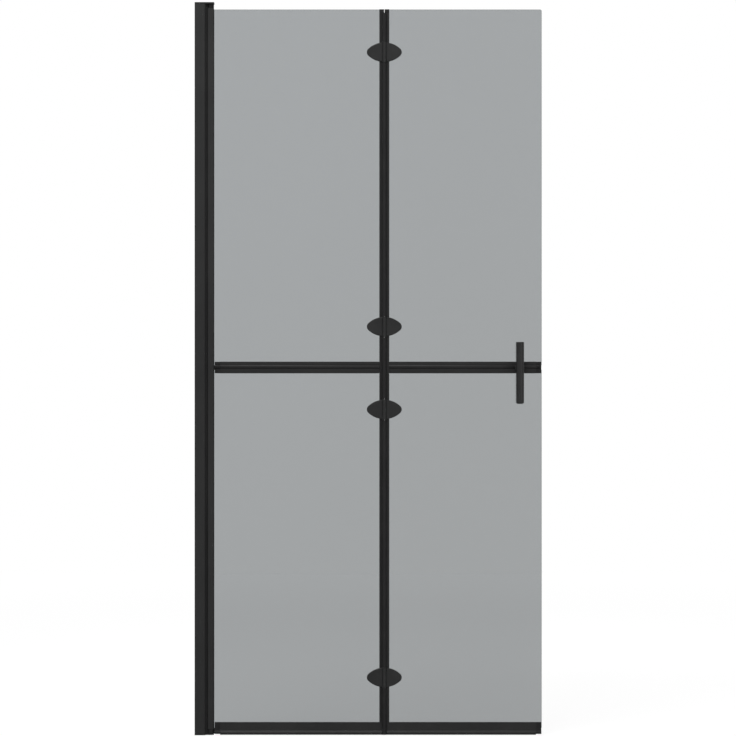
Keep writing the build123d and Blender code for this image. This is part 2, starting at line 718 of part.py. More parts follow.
# Gaskets between the fold profiles and the panes
fold_gaskets = [("inner_fold_gaskets", inner_glass_end, -1.0), ("outer_fold_gaskets", outer_glass_start, 1.0)]
for gasket_name, glass_edge, side in fold_gaskets:
    with BuildPart() as fold_gasket:
        root_x = glass_edge - side * gasket_t
        lip_x = fold_x + side * (fold_split / 2 + fold_profile_w + gasket_lip)
        spans = [
            (bottom_high + gasket_lip + tongue_gap, mid_z - mid_glass_half),
            (mid_z + mid_glass_half, fold_top),
        ]
        for low, high in spans:
            x0, x1 = sorted((root_x, lip_x))
            block(x0, x1, -slot_half, slot_half, low, high)
            x0, x1 = sorted((glass_edge, lip_x))
            block(x0, x1, -glass_t / 2, glass_t / 2, low, high, mode=Mode.SUBTRACT)
        x0, x1 = sorted((lip_x, fold_x + side * (fold_split / 2 + fold_profile_w)))
        rail_space = mid_half + gasket_lip + jamb_slide_gap
        block(x0, x1, -slot_half, slot_half, mid_z - rail_space, mid_z + rail_space, mode=Mode.SUBTRACT)
    save(fold_gasket, gasket_name)

# Caps on the tops of the fold profiles
fold_caps = [("inner_fold_cap", -1.0), ("outer_fold_cap", 1.0)]
for cap_name, side in fold_caps:
    with BuildPart() as fold_cap:
        split_x = fold_x + side * fold_split / 2
        back_x = split_x + side * (fold_profile_w + fold_cap_wall)
        x0, x1 = sorted((split_x, back_x))
        half = fold_profile_half + fold_cap_wall
        block(x0, x1, -half, half, fold_top - fold_cap_skirt, fold_top + fold_cap_t)
        x0, x1 = sorted((split_x - side, split_x + side * fold_profile_w))
        block(x0, x1, -fold_profile_half, fold_profile_half, fold_top - fold_cap_skirt, fold_top,
              mode=Mode.SUBTRACT)
        glass_x = split_x + side * (fold_web + gasket_t)
        x0, x1 = sorted((glass_x, back_x + side))
        grip = glass_t / 2 + end_grip_gap
        block(x0, x1, -grip, grip, fold_top - fold_cap_skirt, glass_top, mode=Mode.SUBTRACT)
        x0, x1 = sorted((split_x + side * fold_profile_w, back_x + side))
        block(x0, x1, -slot_half, slot_half, fold_top - fold_cap_skirt, fold_top, mode=Mode.SUBTRACT)
    save(fold_cap, cap_name)

# Fold bead: a round seal on the fold axis, clipped to the inner profile between the hinges
with BuildPart() as fold_seal:
    edges_z = [fold_top - fold_cap_skirt]
    for z in hinge_heights:
        edges_z.append(z + barrel_h / 2 + bead_end_gap)
        edges_z.append(z - barrel_h / 2 - bead_end_gap)
    edges_z.append(bottom_high)
    front = -fold_profile_half
    foot = front - bead_foot_t
    for high, low in zip(edges_z[0::2], edges_z[1::2]):
        rod_z(bead_r, fold_x, fold_y, low, high)
        block(bead_foot_start, bead_foot_end, foot, front, low, high)
        neck = [("line", bead_foot_end - bead_neck_w, foot), ("line", fold_x - 2.0, fold_y - 3.0),
                ("line", fold_x - 2.0, fold_y + bead_r * 0.85), ("line", bead_foot_end, foot)]
        prism_z(neck, low, high)
    rod_z(bead_r, fold_x, fold_y, bead_bottom, bottom_high)
save(fold_seal, "fold_seal")

# Hinges: an inner and an outer leaf for each of the four
centre_half = centre_knuckle / 2
knuckle_edge = centre_half + washer_t
pin_half = barrel_h / 2 - pin_head_h
leaf_reach = barrel_h / 2 + 3
for index, hinge_z in enumerate(hinge_heights, 1):
    reach_low = hinge_z - leaf_reach
    reach_high = hinge_z + leaf_reach
    for leaf_name, side in (("inner", -1.0), ("outer", 1.0)):
        with BuildPart() as leaf:
            prism_y(lens(hinge_z, 0.0), leaf_front, leaf_back)
            rim = leaf.edges().filter_by_position(Axis.Y, leaf_front - 0.01, leaf_front + 0.01)
            fillet(rim, leaf_rim)
            cut_x = fold_x + side * leaf_split
            x0, x1 = sorted((cut_x, fold_x - side * leaf_length))
            block(x0, x1, leaf_front - 1, leaf_back + 1, reach_low, reach_high, mode=Mode.SUBTRACT)
            step_x = fold_x + side * (fold_split / 2 + fold_profile_w + gasket_lip + leaf_step_gap)
            x0, x1 = sorted((step_x, fold_x - side))
            step_y = -(fold_profile_half + leaf_step_gap)
            block(x0, x1, step_y, leaf_back + 1, reach_low, reach_high, mode=Mode.SUBTRACT)
            swing_r = knuckle_r + knuckle_swing_gap
            if side < 0:
                rod_z(swing_r, fold_x, fold_y, hinge_z - knuckle_edge, hinge_z + knuckle_edge,
                      mode=Mode.SUBTRACT)
                rod_z(knuckle_r, fold_x, fold_y, hinge_z + knuckle_edge, hinge_z + pin_half)
                rod_z(knuckle_r, fold_x, fold_y, hinge_z - pin_half, hinge_z - knuckle_edge)
                bore_r = hinge_pin_r
            else:
                rod_z(swing_r, fold_x, fold_y, hinge_z + centre_half, reach_high, mode=Mode.SUBTRACT)
                rod_z(swing_r, fold_x, fold_y, reach_low, hinge_z - centre_half, mode=Mode.SUBTRACT)
                rod_z(knuckle_r, fold_x, fold_y, hinge_z - centre_half, hinge_z + centre_half)
                bore_r = hinge_pin_r + hinge_run_gap
            rod_z(bore_r, fold_x, fold_y, reach_low, reach_high, mode=Mode.SUBTRACT)
            for dz in (-hinge_screw_z, hinge_screw_z):
                hole_x = fold_x + side * hinge_screw_x
                rod_y(hinge_screw_r, hole_x, hinge_z + dz, hinge_screw_tip, leaf_back + 1,
                      mode=Mode.SUBTRACT)
        save(leaf, f"hinge_{index}_{leaf_name}_leaf")

# Hinge pins with a low domed head at both ends
with BuildPart() as hinge_pins:
    for z in hinge_heights:
        rod_z(hinge_pin_r, fold_x, fold_y, z - pin_half, z + pin_half)
        rod_z(pin_head_r, fold_x, fold_y, z + pin_half, z + barrel_h / 2)
        rod_z(pin_head_r, fold_x, fold_y, z - barrel_h / 2, z - pin_half)
    for z in hinge_heights:
        for out_z in (z - barrel_h / 2, z + barrel_h / 2):
            rim = hinge_pins.edges().filter_by_position(Axis.Z, out_z - 0.01, out_z + 0.01)
            fillet(rim, pin_head_round)
save(hinge_pins, "hinge_pins")

# Washers between the knuckles
with BuildPart() as hinge_washers:
    for z in hinge_heights:
        for low in (z - knuckle_edge, z + centre_half):
            rod_z(washer_r, fold_x, fold_y, low, low + washer_t)
            rod_z(hinge_pin_r + 2 * hinge_run_gap, fold_x, fold_y, low, low + washer_t,
                  mode=Mode.SUBTRACT)
save(hinge_washers, "hinge_washers")

# Back plates, pads and screws that clamp the leaves through the glass
plate_back = glass_t / 2 + pad_t + plate_t
for panel_name, side in (("inner", -1.0), ("outer", 1.0)):
    edge_x = fold_x + side * (fold_split / 2 + fold_profile_w + gasket_lip + leaf_step_gap)
    cut_x0, cut_x1 = sorted((edge_x, fold_x - side * leaf_length))
    with BuildPart() as back_plates:
        for z in hinge_heights:
            prism_y(lens(z, pad_edge / 2), glass_t / 2 + pad_t, plate_back)
        rim = back_plates.edges().filter_by_position(Axis.Y, plate_back - 0.01, plate_back + 0.01)
        fillet(rim, plate_round)
        for z in hinge_heights:
            block(cut_x0, cut_x1, 0, 10, z - leaf_reach, z + leaf_reach, mode=Mode.SUBTRACT)
            for dz in (-hinge_screw_z, hinge_screw_z):
                hole_x = fold_x + side * hinge_screw_x
                rod_y(hinge_screw_r, hole_x, z + dz, 0, 10, mode=Mode.SUBTRACT)
                cone_y(hinge_head_r, hinge_screw_r, hole_x, z + dz, plate_back, plate_back - hinge_head_t,
                       mode=Mode.SUBTRACT)
    save(back_plates, f"{panel_name}_back_plates")
    with BuildPart() as hinge_pads:
        for z in hinge_heights:
            prism_y(lens(z, pad_edge), leaf_back, -glass_t / 2)
            prism_y(lens(z, pad_edge), glass_t / 2, glass_t / 2 + pad_t)
            block(cut_x0, cut_x1, -10, 10, z - leaf_reach, z + leaf_reach, mode=Mode.SUBTRACT)
            for dz in (-hinge_screw_z, hinge_screw_z):
                hole_x = fold_x + side * hinge_screw_x
                rod_y(hinge_screw_r, hole_x, z + dz, -10, 10, mode=Mode.SUBTRACT)
    save(hinge_pads, f"{panel_name}_hinge_pads")
    with BuildPart() as hinge_screws:
        for z in hinge_heights:
            for dz in (-hinge_screw_z, hinge_screw_z):
                hole_x = fold_x + side * hinge_screw_x
                rod_y(hinge_screw_r, hole_x, z + dz, hinge_screw_tip, plate_back - hinge_head_t)
                cone_y(hinge_head_r, hinge_screw_r, hole_x, z + dz, plate_back, plate_back - hinge_head_t)
        for z in hinge_heights:
            for dz in (-hinge_screw_z, hinge_screw_z):
                hole_x = fold_x + side * hinge_screw_x
                socket = hinge_socket_af / sqrt(3)
                ring = [(socket, 0.0), (socket / 2, hinge_socket_af / 2),
                        (-socket / 2, hinge_socket_af / 2), (-socket, 0.0),
                        (-socket / 2, -hinge_socket_af / 2), (socket / 2, -hinge_socket_af / 2)]
                steps = [("line", hole_x + px, z + dz + pz) for px, pz in ring]
                prism_y(steps, plate_back - hinge_socket_depth, plate_back + 0.1, mode=Mode.SUBTRACT)
    save(hinge_screws, f"{panel_name}_hinge_screws")

# Screws of the inner mid rail: one in the fold profile, one in the bracket and one in the tube
with BuildPart() as inner_rail_screws:
    rod_x(core_slot_y, 0, mid_z, inner_fold_far - rail_screw_length, inner_fold_far - rail_screw_head_t)
    with Locations((inner_fold_far - rail_screw_head_t / 2, 0, mid_z)):
        Cone(rail_screw_head_r, core_slot_y, rail_screw_head_t, rotation=(0, -90, 0))
    rod_y(bracket_screw_r, bracket_screw_x, mid_z, -core_slot_y + core_slip, mid_back)
    rod_y(bracket_head_r, bracket_screw_x, mid_z, mid_back, mid_back + bracket_head_h)
    rod_y(grub_r, grub_x, mid_z, grub_tip, grub_back)
save(inner_rail_screws, "inner_rail_screws")

# Screw of the outer mid rail in the fold profile
with BuildPart() as outer_rail_screw:
    far_x = outer_fold_near + rail_screw_length
    rod_x(core_slot_y, 0, mid_z, outer_fold_near + rail_screw_head_t, far_x)
    with Locations((outer_fold_near + rail_screw_head_t / 2, 0, mid_z)):
        Cone(rail_screw_head_r, core_slot_y, rail_screw_head_t, rotation=(0, 90, 0))
save(outer_rail_screw, "outer_rail_screw")

# Handle: an upright round bar on one post, held by a screw through the mid rail
with BuildPart() as handle_bar:
    rod_z(handle_r, handle_x, handle_y, handle_low, handle_high)
    bar_edges = handle_bar.edges().filter_by(GeomType.CIRCLE)
    fillet(bar_edges.filter_by_position(Axis.Z, handle_high - 0.01, handle_high + 0.01), handle_top_round)
    bar_edges = handle_bar.edges().filter_by(GeomType.CIRCLE)
    fillet(bar_edges.filter_by_position(Axis.Z, handle_low - 0.01, handle_low + 0.01), handle_bottom_round)
    rod_y(handle_screw_r, handle_x, mid_z, handle_screw_tip, handle_y + handle_r + 2, mode=Mode.SUBTRACT)
save(handle_bar, "handle_bar")

with BuildPart() as handle_post:
    rod_y(post_r, handle_x, mid_z, handle_y, -mid_edge + post_seat)
    rod_z(handle_r, handle_x, handle_y, handle_low, handle_high, mode=Mode.SUBTRACT)
    around = post_r + 1
    block(handle_x - around, handle_x + around, handle_y - handle_r, handle_y, mid_z - around,
          mid_z + around, mode=Mode.SUBTRACT)
    prism_x(mid_section(0.0), handle_x - around, handle_x + around, mode=Mode.SUBTRACT)
    rod_y(handle_screw_r, handle_x, mid_z, handle_y, 0, mode=Mode.SUBTRACT)
save(handle_post, "handle_post")

with BuildPart() as handle_screw:
    rod_y(handle_screw_r, handle_x, mid_z, handle_screw_tip, mid_back)
    rod_y(handle_head_r, handle_x, mid_z, mid_back, mid_back + handle_head_h)
    top_y = mid_back + handle_head_h
    head_edges = handle_screw.edges().filter_by_position(Axis.Y, top_y - 0.01, top_y + 0.01)
    fillet(head_edges, handle_head_round)
    socket = handle_socket_af / sqrt(3)
    ring = [(socket, 0.0), (socket / 2, handle_socket_af / 2), (-socket / 2, handle_socket_af / 2),
            (-socket, 0.0), (-socket / 2, -handle_socket_af / 2), (socket / 2, -handle_socket_af / 2)]
    steps = [("line", handle_x + px, mid_z + pz) for px, pz in ring]
    prism_y(steps, top_y - handle_socket_depth, top_y + 0.1, mode=Mode.SUBTRACT)
save(handle_screw, "handle_screw")
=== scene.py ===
"""Looks of a folding walk-in shower screen: black wall channel, four grey panes, oval hinges, bar handle."""
import logging
import math
from dataclasses import dataclass, field
from enum import Enum
from typing import Any, Sequence

import bpy
import numpy as np
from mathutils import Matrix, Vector


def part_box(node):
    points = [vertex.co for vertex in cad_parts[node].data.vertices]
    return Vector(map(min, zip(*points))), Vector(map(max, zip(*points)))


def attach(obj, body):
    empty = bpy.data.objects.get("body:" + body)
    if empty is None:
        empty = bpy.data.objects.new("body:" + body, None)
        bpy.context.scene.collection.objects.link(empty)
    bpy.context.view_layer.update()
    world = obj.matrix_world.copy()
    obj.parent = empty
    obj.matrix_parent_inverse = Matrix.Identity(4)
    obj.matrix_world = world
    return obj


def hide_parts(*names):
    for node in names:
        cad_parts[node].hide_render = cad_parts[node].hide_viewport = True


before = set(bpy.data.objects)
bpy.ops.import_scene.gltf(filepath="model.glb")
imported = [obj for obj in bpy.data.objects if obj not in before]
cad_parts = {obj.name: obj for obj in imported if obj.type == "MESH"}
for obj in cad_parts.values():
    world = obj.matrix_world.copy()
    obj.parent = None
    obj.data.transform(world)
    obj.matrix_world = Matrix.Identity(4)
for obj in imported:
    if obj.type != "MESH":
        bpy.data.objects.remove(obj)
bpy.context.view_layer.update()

LOG = logging.getLogger("shower_screen")
MM = 0.001
Span = tuple[float, float]
Colour = tuple[float, float, float]

WHITE = (1.0, 1.0, 1.0, 1.0)
SMOOTH_ANGLE = 32.0
EASE_ANGLE = 50.0
EASE_SEGMENTS = 2
WELD_REACH = 0.002
EASE_WALL, EASE_RAIL, EASE_BAR = 0.4, 0.3, 0.25


def box_mm(node: str) -> tuple[Span, Span, Span]:
    """Give the low and high end of a frame piece along X, Y and Z.

    Args:
        node: name of the frame piece.

    Returns:
        Three spans in mm.
    """
    low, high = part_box(node)
    x, y, z = ((low[axis] / MM, high[axis] / MM) for axis in range(3))
    return x, y, z


class Run(Enum):
    """Direction in which a bar was pressed through its die, or in which a seal lies."""

    UPRIGHT = "z"
    LEVEL = "x"
    NONE = "none"


class Sock:
    """One output of a shader node, which can stand in a Python expression."""

    def __init__(self, tree: "Tree", out: Any) -> None:
        """Keep the tree and the output."""
        self.tree = tree
        self.out = out

    def math(self, operation: str, *others: Any) -> "Sock":
        """Join this value with others through one Math node.

        Args:
            operation: the Math node's operation.
            others: numbers or other outputs.

        Returns:
            The node's result.
        """
        values = {index + 1: other for index, other in enumerate(others)}
        return self.tree.add("ShaderNodeMath", {"operation": operation}, {0: self, **values})

    def __add__(self, other: Any) -> "Sock":
        """Sum."""
        return self.math("ADD", other)

    __radd__ = __add__

    def __sub__(self, other: Any) -> "Sock":
        """Difference."""
        return self.math("SUBTRACT", other)

    def __rsub__(self, other: Any) -> "Sock":
        """Difference the other way round."""
        return (self * -1.0) + other

    def __mul__(self, other: Any) -> "Sock":
        """Product."""
        return self.math("MULTIPLY", other)

    __rmul__ = __mul__

    def __pow__(self, other: Any) -> "Sock":
        """Power."""
        return self.math("POWER", other)

    def __abs__(self) -> "Sock":
        """Size without sign."""
        return self.math("ABSOLUTE")

    def ramp(self, low: float, high: float) -> "Sock":
        """Blend smoothly from 0 below low to 1 above high.

        Args:
            low: value that gives 0.
            high: value that gives 1.

        Returns:
            The blended value.
        """
        settings = {"interpolation_type": "SMOOTHSTEP"}
        return self.tree.add("ShaderNodeMapRange", settings, {"Value": self, 1: low, 2: high, 3: 0.0, 4: 1.0})


class Tree:
    """The shader nodes of a new material or world."""

    def __init__(self, owner: Any, end: str = "ShaderNodeOutputMaterial") -> None:
        """Start an empty tree.

        Args:
            owner: name of a new material, or a world.
            end: type of the output node.
        """
        self.owner = bpy.data.materials.new(owner) if isinstance(owner, str) else owner
        self.owner.use_nodes = True
        self.nodes = self.owner.node_tree.nodes
        self.links = self.owner.node_tree.links
        self.nodes.clear()
        self.output = self.nodes.new(end)

    def add(self, kind: str, settings: dict[str, Any] | None = None, sockets: dict[Any, Any] | None = None,
            out: Any = 0) -> Sock:
        """Add one node, first its settings and then its sockets.

        Args:
            kind: the node's type.
            settings: properties of the node itself.
            sockets: values or outputs for its inputs, by name or number.
            out: the output that is wanted, by name or number.

        Returns:
            That output.
        """
        node = self.nodes.new(kind)
        for key, value in (settings or {}).items():
            setattr(node, key, value)
        for key, value in (sockets or {}).items():
            if isinstance(value, Sock):
                self.links.new(value.out, node.inputs[key])
            else:
                node.inputs[key].default_value = value
        return Sock(self, node.outputs[out])

    def place(self, scale: Sequence[float] = (1.0, 1.0, 1.0)) -> Sock:
        """Give object coordinates, stretched by a scale for each axis."""
        coordinates = self.add("ShaderNodeTexCoord", out="Object")
        return self.add("ShaderNodeMapping", {}, {"Vector": coordinates, "Scale": tuple(scale)})

    def axis(self, name: str) -> Sock:
        """Give one object coordinate in metres, X, Y or Z."""
        return self.add("ShaderNodeSeparateXYZ", {}, {0: self.add("ShaderNodeTexCoord", out="Object")}, name)

    def noise(self, where: Sock, scale: float, detail: float = 3.0, rough: float = 0.5) -> Sock:
        """Give a cloudy value between 0 and 1.

        Args:
            where: coordinates.
            scale: features per metre.
            detail: number of finer layers.
            rough: strength of the finer layers.

        Returns:
            The value.
        """
        sockets = {"Vector": where, "Scale": scale, "Detail": detail, "Roughness": rough}
        return self.add("ShaderNodeTexNoise", {}, sockets, "Fac")

    def mix(self, factor: Any, first: Any, second: Any) -> Sock:
        """Blend two colours by a factor."""
        first = (*first, 1.0) if isinstance(first, tuple) else first
        second = (*second, 1.0) if isinstance(second, tuple) else second
        return self.add("ShaderNodeMix", {"data_type": "RGBA"}, {0: factor, 6: first, 7: second}, 2)

    def bump(self, height: Sock, strength: float, depth: float) -> Sock:
        """Turn a height into a normal, with a depth in metres."""
        return self.add("ShaderNodeBump", {}, {"Strength": strength, "Distance": depth, "Height": height})

    def surface(self, sockets: dict[str, Any]) -> bpy.types.Material:
        """Close the material with one Principled surface.

        Args:
            sockets: values or outputs for the surface.

        Returns:
            The finished material.
        """
        return self.close(self.add("ShaderNodeBsdfPrincipled", {}, sockets))

    def close(self, shader: Sock) -> Any:
        """Join a shader to the output and give the material or world."""
        self.links.new(shader.out, self.output.inputs["Surface"])
        return self.owner


@dataclass(frozen=True)
class CoatedBar:
    """Matt black coated aluminium bar, with faint die lines along its run and a fine powder grain."""

    name: str
    run: Run
    dark: Colour = (0.0120, 0.0122, 0.0123)
    light: Colour = (0.0180, 0.0181, 0.0180)
    roughness: float = 0.46
    grain_per_m: float = 1300.0
    lines_across_per_m: float = 900.0
    lines_along_per_m: float = 1.5
    cloud_per_m: float = 7.0
    wipe_per_m: float = 9.0
    wipe_stretch: tuple[float, float, float] = (3.0, 3.0, 1.2)
    sheen_level: float = 0.15
    bump_share: float = 0.55
    bump_depth: float = 0.05 * MM

    def build(self) -> bpy.types.Material:
        """Build the material."""
        tree = Tree(self.name)
        across, along = self.lines_across_per_m, self.lines_along_per_m
        stretch = {Run.UPRIGHT: (across, across, along), Run.LEVEL: (along, across, across)}
        lines = tree.noise(tree.place(stretch[self.run]), 1.0, 2.0)
        grain = tree.noise(tree.place(), self.grain_per_m, 1.5)
        cloud = tree.noise(tree.place(), self.cloud_per_m, 4.0, 0.6)
        wipe = tree.noise(tree.place(self.wipe_stretch), self.wipe_per_m, 5.0, 0.65)
        tone = (cloud * 0.6 + lines * 0.25 + grain * 0.15).ramp(0.3, 0.72)
        rough = (wipe - 0.5) * 0.16 + (grain - 0.5) * 0.10 + (lines - 0.5) * 0.06 + self.roughness
        return tree.surface({
            "Base Color": tree.mix(tone, self.dark, self.light),
            "Roughness": rough,
            "Specular IOR Level": self.sheen_level,
            "Normal": tree.bump(grain * 0.7 + lines * 0.5, self.bump_share, self.bump_depth),
        })


@dataclass(frozen=True)
class SatinCasting:
    """Satin black coated casting, smoother than a bar, with a soft orange-peel skin."""

    name: str
    dark: Colour = (0.0105, 0.0107, 0.0108)
    light: Colour = (0.0160, 0.0162, 0.0162)
    roughness: float = 0.38
    peel_per_m: float = 420.0
    grain_per_m: float = 2600.0
    cloud_per_m: float = 22.0
    touch_per_m: float = 55.0
    touch_stretch: tuple[float, float, float] = (1.0, 1.0, 0.5)
    sheen_level: float = 0.18
    bump_share: float = 0.45
    bump_depth: float = 0.06 * MM

    def build(self) -> bpy.types.Material:
        """Build the material."""
        tree = Tree(self.name)
        peel = tree.noise(tree.place(), self.peel_per_m, 1.0)
        grain = tree.noise(tree.place(), self.grain_per_m, 1.0)
        cloud = tree.noise(tree.place(), self.cloud_per_m, 4.0, 0.6)
        touch = tree.noise(tree.place(self.touch_stretch), self.touch_per_m, 4.0, 0.7)
        tone = (cloud * 0.7 + grain * 0.3).ramp(0.3, 0.7)
        return tree.surface({
            "Base Color": tree.mix(tone, self.dark, self.light),
            "Roughness": (touch - 0.5) * 0.14 + (grain - 0.5) * 0.08 + self.roughness,
            "Specular IOR Level": self.sheen_level,
            "Normal": tree.bump(peel + grain * 0.25, self.bump_share, self.bump_depth),
        })


@dataclass(frozen=True)
class GreyGlass:
    """Clear grey safety glass with ground edges and a film of wiped water marks; its colour has a painted
    reflection, lighter and bluer at the top and on the left, turns darker towards the bottom, and has painted
    shade along the free and top edges.
    """

    name: str
    # The next two colours are the glass tint with a painted reflection: lighter and bluer at the top than at
    # the bottom.
    upper: Colour = (0.350, 0.367, 0.376)
    lower: Colour = (0.322, 0.336, 0.340)
    # Colour and height band for the glass turning darker towards the bottom.
    darker_bottom: Colour = (0.290, 0.303, 0.309)
    darker_bottom_height: Span = (0.28, 0.44)
    # The next colour is the own colour of the ground edge faces. It is also painted as shade on a band about
    # 1 mm wide on the faces along the free and top edges.
    edge: Colour = (0.16, 0.175, 0.172)
    half_thickness: float = 2.0 * MM
    height: Span = (0.0, 1.9)
    width: Span = (0.0, 0.9)
    edge_shade_width: float = 1.0 * MM
    edge_shade_share: float = 0.85
    rim_roughness: float = 0.32
    mark_roughness: float = 0.012
    cloud_per_m: float = 2.2
    marks_per_m: float = 38.0
    ior: float = 1.5

    def build(self) -> bpy.types.Material:
        """Build the material."""
        tree = Tree(self.name)
        # Painted reflection: the tint turns lighter and bluer towards the top and towards the left, with
        # random cloud in it.
        painted_light_rise = tree.axis("Z").ramp(*self.height)
        across = tree.axis("X").ramp(*self.width)
        cloud = tree.noise(tree.place((1.0, 0.2, 0.6)), self.cloud_per_m, 3.0, 0.55)
        tint_with_painted_light = tree.mix(painted_light_rise * 0.65 + (1.0 - across) * 0.2 + (cloud - 0.5) * 0.25, self.lower, self.upper)
        # Darker towards the bottom: below 0.28 to 0.44 m the tint turns part of the way to a darker grey,
        # varied by the cloud.
        bottom_darkening = (1.0 - tree.axis("Z").ramp(*self.darker_bottom_height)) * (cloud * 0.3 + 0.20)
        tint_with_painted_light = tree.mix(bottom_darkening, tint_with_painted_light, self.darker_bottom)
        (_, free_edge), _, (_, top_edge) = box_mm("outer_upper_glass")
        # The ground edge faces take the edge colour as their own. The bands at the free and top edges are
        # painted shade that stands in for a dark arris.
        side = 1.0 - abs(tree.axis("Y")).ramp(self.half_thickness * 0.80, self.half_thickness * 0.97)
        ends = [tree.axis(name).ramp(edge * MM - self.edge_shade_width * 1.2, edge * MM - self.edge_shade_width * 0.8)
                for name, edge in (("X", free_edge), ("Z", top_edge))]
        edge_faces_and_edge_shade = side.math("MAXIMUM", ends[0].math("MAXIMUM", ends[1]) * self.edge_shade_share)
        marks = tree.noise(tree.place((1.0, 0.2, 0.25)), self.marks_per_m, 5.0, 0.7).ramp(0.58, 0.80)
        return tree.surface({
            "Base Color": tree.mix(edge_faces_and_edge_shade, tint_with_painted_light, self.edge),
            "Roughness": edge_faces_and_edge_shade * self.rim_roughness + marks * self.mark_roughness,
            "IOR": self.ior,
            "Transmission Weight": 1.0,
            "Specular IOR Level": 0.5,
        })


@dataclass(frozen=True)
class SoftRubber:
    """Dull black rubber with a fine grain, drawn along its run."""

    name: str
    run: Run
    dark: Colour = (0.0095, 0.0095, 0.0098)
    light: Colour = (0.0160, 0.0160, 0.0160)
    roughness: float = 0.62
    drawn_across_per_m: float = 700.0
    drawn_along_per_m: float = 2.0
    even_per_m: float = 300.0
    grain_per_m: float = 1500.0
    dust_per_m: float = 14.0
    sheen_level: float = 0.12
    bump_share: float = 0.4
    bump_depth: float = 0.04 * MM

    def build(self) -> bpy.types.Material:
        """Build the material."""
        tree = Tree(self.name)
        across, along, even = self.drawn_across_per_m, self.drawn_along_per_m, self.even_per_m
        stretch = {Run.UPRIGHT: (across, across, along), Run.LEVEL: (along, across, across),
                   Run.NONE: (even, even, even)}
        drawn = tree.noise(tree.place(stretch[self.run]), 1.0, 2.0)
        grain = tree.noise(tree.place(), self.grain_per_m, 2.0)
        dust = tree.noise(tree.place(), self.dust_per_m, 5.0, 0.7)
        return tree.surface({
            "Base Color": tree.mix((dust * 0.7 + grain * 0.3).ramp(0.32, 0.72), self.dark, self.light),
            "Roughness": (dust - 0.5) * 0.18 + (grain - 0.5) * 0.12 + self.roughness,
            "Specular IOR Level": self.sheen_level,
            "Normal": tree.bump(grain * 0.6 + drawn * 0.6, self.bump_share, self.bump_depth),
        })


@dataclass(frozen=True)
class MouldedPlastic:
    """Moulded plastic with a fine spark-eroded skin."""

    name: str
    dark: Colour = (0.0080, 0.0080, 0.0082)
    light: Colour = (0.0130, 0.0130, 0.0132)
    roughness: float = 0.55
    skin_per_m: float = 1700.0
    cloud_per_m: float = 60.0
    sheen_level: float = 0.12
    bump_share: float = 0.50
    bump_depth: float = 0.05 * MM

    def build(self) -> bpy.types.Material:
        """Build the material."""
        tree = Tree(self.name)
        cells = {"Vector": tree.place(), "Scale": self.skin_per_m}
        skin = tree.add("ShaderNodeTexVoronoi", {"feature": "F1"}, cells, "Distance")
        cloud = tree.noise(tree.place(), self.cloud_per_m, 4.0, 0.6)
        return tree.surface({
            "Base Color": tree.mix(cloud.ramp(0.3, 0.7), self.dark, self.light),
            "Roughness": (cloud - 0.5) * 0.2 + self.roughness,
            "Specular IOR Level": self.sheen_level,
            "Normal": tree.bump(skin, self.bump_share, self.bump_depth),
        })


@dataclass(frozen=True)
class TurnedSteel:
    """Plain stainless steel with fine tool marks."""

    name: str
    dark: Colour = (0.42, 0.42, 0.425)
    light: Colour = (0.60, 0.60, 0.605)
    roughness: float = 0.30
    marks_stretch: tuple[float, float, float] = (300.0, 4000.0, 300.0)
    cloud_per_m: float = 160.0
    bump_share: float = 0.25
    bump_depth: float = 0.02 * MM

    def build(self) -> bpy.types.Material:
        """Build the material."""
        tree = Tree(self.name)
        marks = tree.noise(tree.place(self.marks_stretch), 1.0, 2.0)
        cloud = tree.noise(tree.place(), self.cloud_per_m, 4.0, 0.6)
        return tree.surface({
            "Base Color": tree.mix((cloud * 0.6 + marks * 0.4).ramp(0.3, 0.7), self.dark, self.light),
            "Roughness": (marks - 0.5) * 0.18 + (cloud - 0.5) * 0.1 + self.roughness,
            "Metallic": 1.0,
            "Normal": tree.bump(marks, self.bump_share, self.bump_depth),
        })


def eased(outline: Sequence[Span], radius: float, steps: int = 5) -> np.ndarray:
    """Round every corner of a closed outline.

    Each corner P gives way to the parabola (1-s)^2 A + 2s(1-s) P + s^2 B, where A and B lie on the two
    sides at the radius from P, or at 0.45 of a side that is short.

    Args:
        outline: corners in mm.
        radius: distance from the corner at which the bend starts, in mm.
        steps: points on each bend.

    Returns:
        The rounded outline, one row a point.
    """
    points = np.asarray(outline, float)
    before, after = np.roll(points, 1, axis=0) - points, np.roll(points, -1, axis=0) - points
    reach = [np.minimum(radius, 0.45 * np.linalg.norm(side, axis=1)) for side in (before, after)]
    start = points + before / np.linalg.norm(before, axis=1)[:, None] * reach[0][:, None]
    end = points + after / np.linalg.norm(after, axis=1)[:, None] * reach[1][:, None]
    s = np.linspace(0.0, 1.0, steps)[None, :, None]
    bends = (1 - s) ** 2 * start[:, None] + 2 * s * (1 - s) * points[:, None] + s**2 * end[:, None]
    return bends.reshape(-1, 2)


def outwards(outline: np.ndarray) -> np.ndarray:
    """Turn an outline against the clock, which is when twice its area, sum(x y' - x' y), is above zero."""
    turned = np.roll(outline, -1, axis=0)
    twice_area = np.sum(outline[:, 0] * turned[:, 1] - turned[:, 0] * outline[:, 1])
    return outline if twice_area > 0 else outline[::-1]


